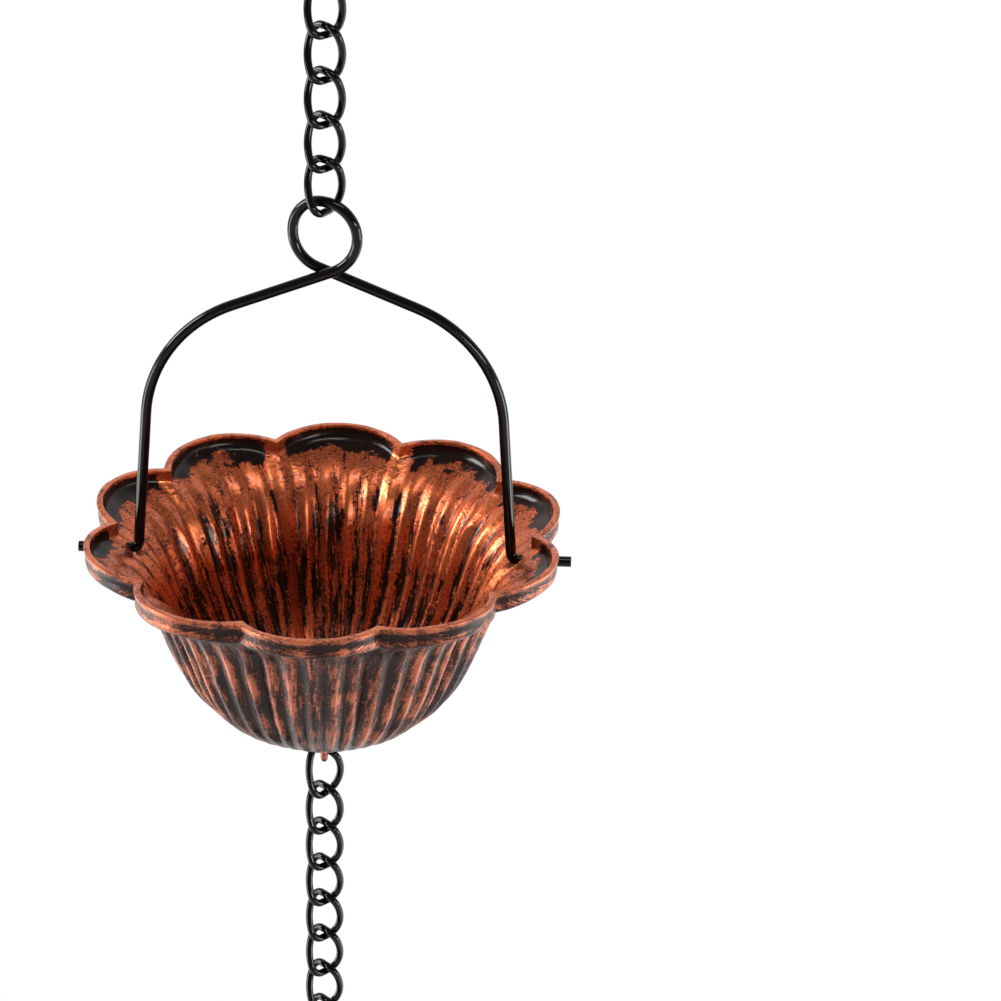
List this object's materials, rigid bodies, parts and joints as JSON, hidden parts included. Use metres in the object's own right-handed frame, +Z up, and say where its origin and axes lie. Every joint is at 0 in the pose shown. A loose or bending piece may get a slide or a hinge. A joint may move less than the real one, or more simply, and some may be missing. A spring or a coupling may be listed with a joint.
{
  "type": "rain chain",
  "caption": "Rain chain of fluted, scalloped flower cups, each tilting on the ends of a wire bail, hung one under another on twisted link chain.",
  "frame": {"origin": "underside of the top link's upper bow, where it rests on the hook that carries the chain", "axes": "+Z up along the hanging chain; each bail lies in the XZ plane with its two ends along X; -Y is the front"},
  "size_m": [0.107, 0.105, 0.7406],
  "materials": {
    "chain": "gloss black",
    "bail": "gloss black",
    "cup": "copper colour brushed over black, satin",
    "eye": "copper colour, satin"
  },
  "bodies": {
    "tier_1_link_01": {"tier_1_link_01": "chain"},
    "tier_1_link_02": {"tier_1_link_02": "chain"},
    "tier_1_link_03": {"tier_1_link_03": "chain"},
    "tier_1_link_04": {"tier_1_link_04": "chain"},
    "tier_1_link_05": {"tier_1_link_05": "chain"},
    "tier_1_link_06": {"tier_1_link_06": "chain"},
    "tier_1_bail": {"tier_1_bail": "bail"},
    "tier_1_cup": {"tier_1_cup": "cup", "tier_1_eye": "eye"},
    "tier_2_link_01": {"tier_2_link_01": "chain"},
    "tier_2_link_02": {"tier_2_link_02": "chain"},
    "tier_2_link_03": {"tier_2_link_03": "chain"},
    "tier_2_link_04": {"tier_2_link_04": "chain"},
    "tier_2_link_05": {"tier_2_link_05": "chain"},
    "tier_2_link_06": {"tier_2_link_06": "chain"},
    "tier_2_link_07": {"tier_2_link_07": "chain"},
    "tier_2_link_08": {"tier_2_link_08": "chain"},
    "tier_2_link_09": {"tier_2_link_09": "chain"},
    "tier_2_link_10": {"tier_2_link_10": "chain"},
    "tier_2_link_11": {"tier_2_link_11": "chain"},
    "tier_2_link_12": {"tier_2_link_12": "chain"},
    "tier_2_link_13": {"tier_2_link_13": "chain"},
    "tier_2_link_14": {"tier_2_link_14": "chain"},
    "tier_2_bail": {"tier_2_bail": "bail"},
    "tier_2_cup": {"tier_2_cup": "cup", "tier_2_eye": "eye"},
    "tier_3_link_01": {"tier_3_link_01": "chain"},
    "tier_3_link_02": {"tier_3_link_02": "chain"},
    "tier_3_link_03": {"tier_3_link_03": "chain"},
    "tier_3_link_04": {"tier_3_link_04": "chain"},
    "tier_3_link_05": {"tier_3_link_05": "chain"},
    "tier_3_link_06": {"tier_3_link_06": "chain"},
    "tier_3_link_07": {"tier_3_link_07": "chain"},
    "tier_3_link_08": {"tier_3_link_08": "chain"},
    "tier_3_link_09": {"tier_3_link_09": "chain"},
    "tier_3_link_10": {"tier_3_link_10": "chain"},
    "tier_3_link_11": {"tier_3_link_11": "chain"},
    "tier_3_link_12": {"tier_3_link_12": "chain"},
    "tier_3_link_13": {"tier_3_link_13": "chain"},
    "tier_3_link_14": {"tier_3_link_14": "chain"},
    "tier_3_bail": {"tier_3_bail": "bail"},
    "tier_3_cup": {"tier_3_cup": "cup", "tier_3_eye": "eye"},
    "tail_link_01": {"tail_link_01": "chain"},
    "tail_link_02": {"tail_link_02": "chain"}
  },
  "joints": [
    {"name": "tier_1_link_02_swing", "type": "hinge", "parent": "tier_1_link_01", "child": "tier_1_link_02", "pos_m": [0, 0, -0.00877], "axis": [0.7071, -0.7071, 0], "range_deg": [-30, 30]},
    {"name": "tier_1_link_03_swing", "type": "hinge", "parent": "tier_1_link_02", "child": "tier_1_link_03", "pos_m": [0, 0, -0.02032], "axis": [0.7071, 0.7071, 0], "range_deg": [-30, 30]},
    {"name": "tier_1_link_04_swing", "type": "hinge", "parent": "tier_1_link_03", "child": "tier_1_link_04", "pos_m": [0, 0, -0.02797], "axis": [-0.7071, 0.7071, 0], "range_deg": [-30, 30]},
    {"name": "tier_1_link_05_swing", "type": "hinge", "parent": "tier_1_link_04", "child": "tier_1_link_05", "pos_m": [0, 0, -0.03952], "axis": [-0.7071, -0.7071, 0], "range_deg": [-30, 30]},
    {"name": "tier_1_link_06_swing", "type": "hinge", "parent": "tier_1_link_05", "child": "tier_1_link_06", "pos_m": [0, 0, -0.04718], "axis": [-0.8192, 0.5736, 0], "range_deg": [-30, 30]},
    {"name": "tier_1_bail_swing", "type": "hinge", "parent": "tier_1_link_06", "child": "tier_1_bail", "pos_m": [0, 0, -0.05872], "axis": [0.5736, 0.8192, 0], "range_deg": [-30, 30]},
    {"name": "tier_1_cup_tilt", "type": "hinge", "parent": "tier_1_bail", "child": "tier_1_cup", "pos_m": [0, 0, -0.1383], "axis": [1, 0, 0], "range_deg": [-60, 60]},
    {"name": "tier_2_link_01_swing", "type": "hinge", "parent": "tier_1_cup", "child": "tier_2_link_01", "pos_m": [0, 0, -0.18915], "axis": [0, -1, 0], "range_deg": [-30, 30]},
    {"name": "tier_2_link_02_swing", "type": "hinge", "parent": "tier_2_link_01", "child": "tier_2_link_02", "pos_m": [0, 0, -0.19687], "axis": [-0.7071, 0.7071, 0], "range_deg": [-30, 30]},
    {"name": "tier_2_link_03_swing", "type": "hinge", "parent": "tier_2_link_02", "child": "tier_2_link_03", "pos_m": [0, 0, -0.20842], "axis": [-0.7071, -0.7071, 0], "range_deg": [-30, 30]},
    {"name": "tier_2_link_04_swing", "type": "hinge", "parent": "tier_2_link_03", "child": "tier_2_link_04", "pos_m": [0, 0, -0.21607], "axis": [0.7071, -0.7071, 0], "range_deg": [-30, 30]},
    {"name": "tier_2_link_05_swing", "type": "hinge", "parent": "tier_2_link_04", "child": "tier_2_link_05", "pos_m": [0, 0, -0.22762], "axis": [-0.7071, -0.7071, 0], "range_deg": [-30, 30]},
    {"name": "tier_2_link_06_swing", "type": "hinge", "parent": "tier_2_link_05", "child": "tier_2_link_06", "pos_m": [0, 0, -0.23528], "axis": [-0.7071, 0.7071, 0], "range_deg": [-30, 30]},
    {"name": "tier_2_link_07_swing", "type": "hinge", "parent": "tier_2_link_06", "child": "tier_2_link_07", "pos_m": [0, 0, -0.24682], "axis": [0.7071, 0.7071, 0], "range_deg": [-30, 30]},
    {"name": "tier_2_link_08_swing", "type": "hinge", "parent": "tier_2_link_07", "child": "tier_2_link_08", "pos_m": [0, 0, -0.25448], "axis": [0.7071, -0.7071, 0], "range_deg": [-30, 30]},
    {"name": "tier_2_link_09_swing", "type": "hinge", "parent": "tier_2_link_08", "child": "tier_2_link_09", "pos_m": [0, 0, -0.26603], "axis": [-0.7071, -0.7071, 0], "range_deg": [-30, 30]},
    {"name": "tier_2_link_10_swing", "type": "hinge", "parent": "tier_2_link_09", "child": "tier_2_link_10", "pos_m": [0, 0, -0.27368], "axis": [-0.7071, 0.7071, 0], "range_deg": [-30, 30]},
    {"name": "tier_2_link_11_swing", "type": "hinge", "parent": "tier_2_link_10", "child": "tier_2_link_11", "pos_m": [0, 0, -0.28523], "axis": [0.7071, 0.7071, 0], "range_deg": [-30, 30]},
    {"name": "tier_2_link_12_swing", "type": "hinge", "parent": "tier_2_link_11", "child": "tier_2_link_12", "pos_m": [0, 0, -0.29287], "axis": [0.7071, -0.7071, 0], "range_deg": [-30, 30]},
    {"name": "tier_2_link_13_swing", "type": "hinge", "parent": "tier_2_link_12", "child": "tier_2_link_13", "pos_m": [0, 0, -0.30443], "axis": [-0.7071, -0.7071, 0], "range_deg": [-30, 30]},
    {"name": "tier_2_link_14_swing", "type": "hinge", "parent": "tier_2_link_13", "child": "tier_2_link_14", "pos_m": [0, 0, -0.31207], "axis": [-0.8192, 0.5736, 0], "range_deg": [-30, 30]},
    {"name": "tier_2_bail_swing", "type": "hinge", "parent": "tier_2_link_14", "child": "tier_2_bail", "pos_m": [0, 0, -0.32362], "axis": [0.5736, 0.8192, 0], "range_deg": [-30, 30]},
    {"name": "tier_2_cup_tilt", "type": "hinge", "parent": "tier_2_bail", "child": "tier_2_cup", "pos_m": [0, 0, -0.4032], "axis": [-1, 0, 0], "range_deg": [-60, 60]},
    {"name": "tier_3_link_01_swing", "type": "hinge", "parent": "tier_2_cup", "child": "tier_3_link_01", "pos_m": [0, 0, -0.45405], "axis": [0, -1, 0], "range_deg": [-30, 30]},
    {"name": "tier_3_link_02_swing", "type": "hinge", "parent": "tier_3_link_01", "child": "tier_3_link_02", "pos_m": [0, 0, -0.46177], "axis": [0.7071, -0.7071, 0], "range_deg": [-30, 30]},
    {"name": "tier_3_link_03_swing", "type": "hinge", "parent": "tier_3_link_02", "child": "tier_3_link_03", "pos_m": [0, 0, -0.47332], "axis": [0.7071, 0.7071, 0], "range_deg": [-30, 30]},
    {"name": "tier_3_link_04_swing", "type": "hinge", "parent": "tier_3_link_03", "child": "tier_3_link_04", "pos_m": [0, 0, -0.48097], "axis": [0.7071, -0.7071, 0], "range_deg": [-30, 30]},
    {"name": "tier_3_link_05_swing", "type": "hinge", "parent": "tier_3_link_04", "child": "tier_3_link_05", "pos_m": [0, 0, -0.49252], "axis": [0.7071, 0.7071, 0], "range_deg": [-30, 30]},
    {"name": "tier_3_link_06_swing", "type": "hinge", "parent": "tier_3_link_05", "child": "tier_3_link_06", "pos_m": [0, 0, -0.50018], "axis": [-0.7071, 0.7071, 0], "range_deg": [-30, 30]},
    {"name": "tier_3_link_07_swing", "type": "hinge", "parent": "tier_3_link_06", "child": "tier_3_link_07", "pos_m": [0, 0, -0.51172], "axis": [-0.7071, -0.7071, 0], "range_deg": [-30, 30]},
    {"name": "tier_3_link_08_swing", "type": "hinge", "parent": "tier_3_link_07", "child": "tier_3_link_08", "pos_m": [0, 0, -0.51938], "axis": [0.7071, -0.7071, 0], "range_deg": [-30, 30]},
    {"name": "tier_3_link_09_swing", "type": "hinge", "parent": "tier_3_link_08", "child": "tier_3_link_09", "pos_m": [0, 0, -0.53092], "axis": [0.7071, 0.7071, 0], "range_deg": [-30, 30]},
    {"name": "tier_3_link_10_swing", "type": "hinge", "parent": "tier_3_link_09", "child": "tier_3_link_10", "pos_m": [0, 0, -0.53858], "axis": [-0.7071, 0.7071, 0], "range_deg": [-30, 30]},
    {"name": "tier_3_link_11_swing", "type": "hinge", "parent": "tier_3_link_10", "child": "tier_3_link_11", "pos_m": [0, 0, -0.55012], "axis": [-0.7071, -0.7071, 0], "range_deg": [-30, 30]},
    {"name": "tier_3_link_12_swing", "type": "hinge", "parent": "tier_3_link_11", "child": "tier_3_link_12", "pos_m": [0, 0, -0.55778], "axis": [0.7071, -0.7071, 0], "range_deg": [-30, 30]},
    {"name": "tier_3_link_13_swing", "type": "hinge", "parent": "tier_3_link_12", "child": "tier_3_link_13", "pos_m": [0, 0, -0.56932], "axis": [0.7071, 0.7071, 0], "range_deg": [-30, 30]},
    {"name": "tier_3_link_14_swing", "type": "hinge", "parent": "tier_3_link_13", "child": "tier_3_link_14", "pos_m": [0, 0, -0.57698], "axis": [-0.8192, 0.5736, 0], "range_deg": [-30, 30]},
    {"name": "tier_3_bail_swing", "type": "hinge", "parent": "tier_3_link_14", "child": "tier_3_bail", "pos_m": [0, 0, -0.58852], "axis": [-0.5736, -0.8192, 0], "range_deg": [-30, 30]},
    {"name": "tier_3_cup_tilt", "type": "hinge", "parent": "tier_3_bail", "child": "tier_3_cup", "pos_m": [0, 0, -0.6681], "axis": [1, 0, 0], "range_deg": [-60, 60]},
    {"name": "tail_link_01_swing", "type": "hinge", "parent": "tier_3_cup", "child": "tail_link_01", "pos_m": [0, 0, -0.71895], "axis": [0, 1, 0], "range_deg": [-30, 30]},
    {"name": "tail_link_02_swing", "type": "hinge", "parent": "tail_link_01", "child": "tail_link_02", "pos_m": [0, 0, -0.72667], "axis": [-0.8192, 0.5736, 0], "range_deg": [-30, 30]}
  ]
}
